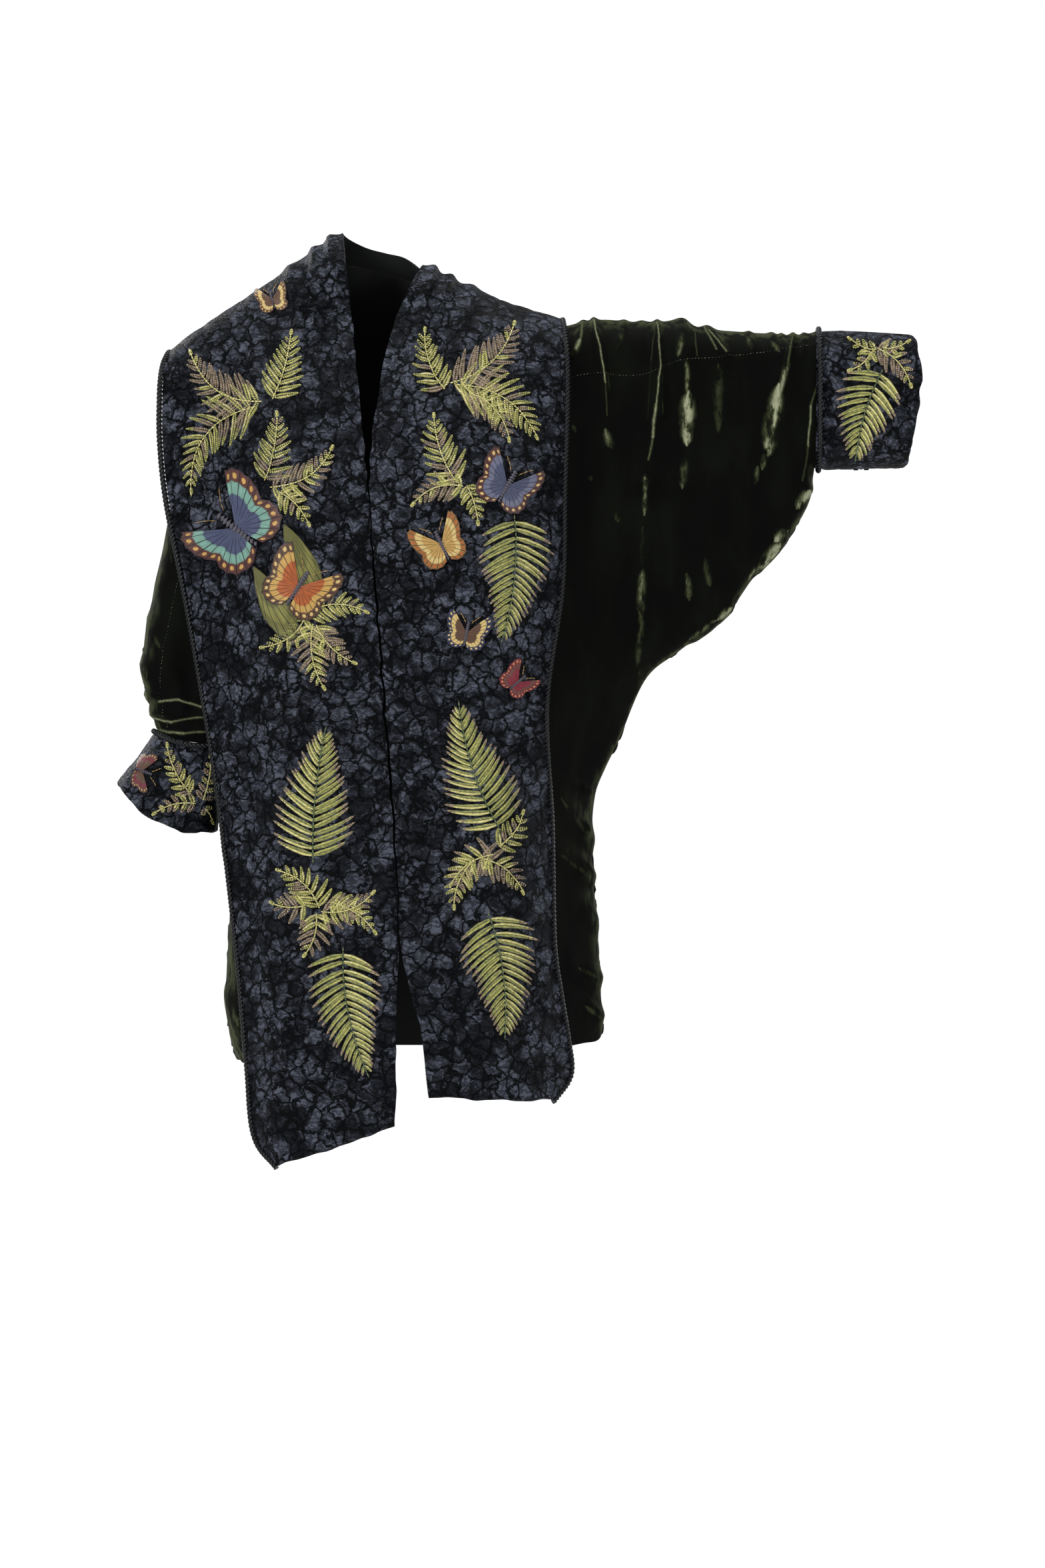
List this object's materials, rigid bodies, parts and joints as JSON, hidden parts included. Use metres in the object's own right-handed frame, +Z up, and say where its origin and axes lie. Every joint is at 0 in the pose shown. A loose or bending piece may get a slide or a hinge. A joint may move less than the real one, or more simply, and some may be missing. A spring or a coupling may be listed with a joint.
{
  "type": "batwing velvet coat with embroidered shawl band, worn form",
  "caption": "Worn cocoon coat: batwing velvet body, wide crinkled jacquard shawl band down both fronts, flared cuffs with corded edges, open at neck, hem and wrists.",
  "frame": {"origin": "the point between the shoulders, inside the coat below the back of the neck, where a wearer's shoulders carry it", "axes": "+Z up, +X towards the wearer's left, where the raised arm points, -Y the way that the front faces"},
  "size_m": [1.0326, 0.3202, 1.1982],
  "materials": {
    "velvet": "crushed silk velvet, dark olive green with a pale sheen on the folds",
    "jacquard": "crinkled black jacquard, matt raised areas and glossier sunk veins",
    "cord": "twisted black cord with a soft sheen"
  },
  "bodies": {
    "root": {"yoke_left": "velvet", "yoke_right": "velvet", "front_left": "velvet", "front_right": "velvet", "back_left": "velvet", "back_right": "velvet", "cuff_left": "jacquard", "cuff_right": "jacquard", "band_left": "jacquard", "band_right": "jacquard", "cord_band_left": "cord", "cord_band_right": "cord", "cord_cuff_left": "cord", "cord_cuff_right": "cord"}
  },
  "joints": []
}
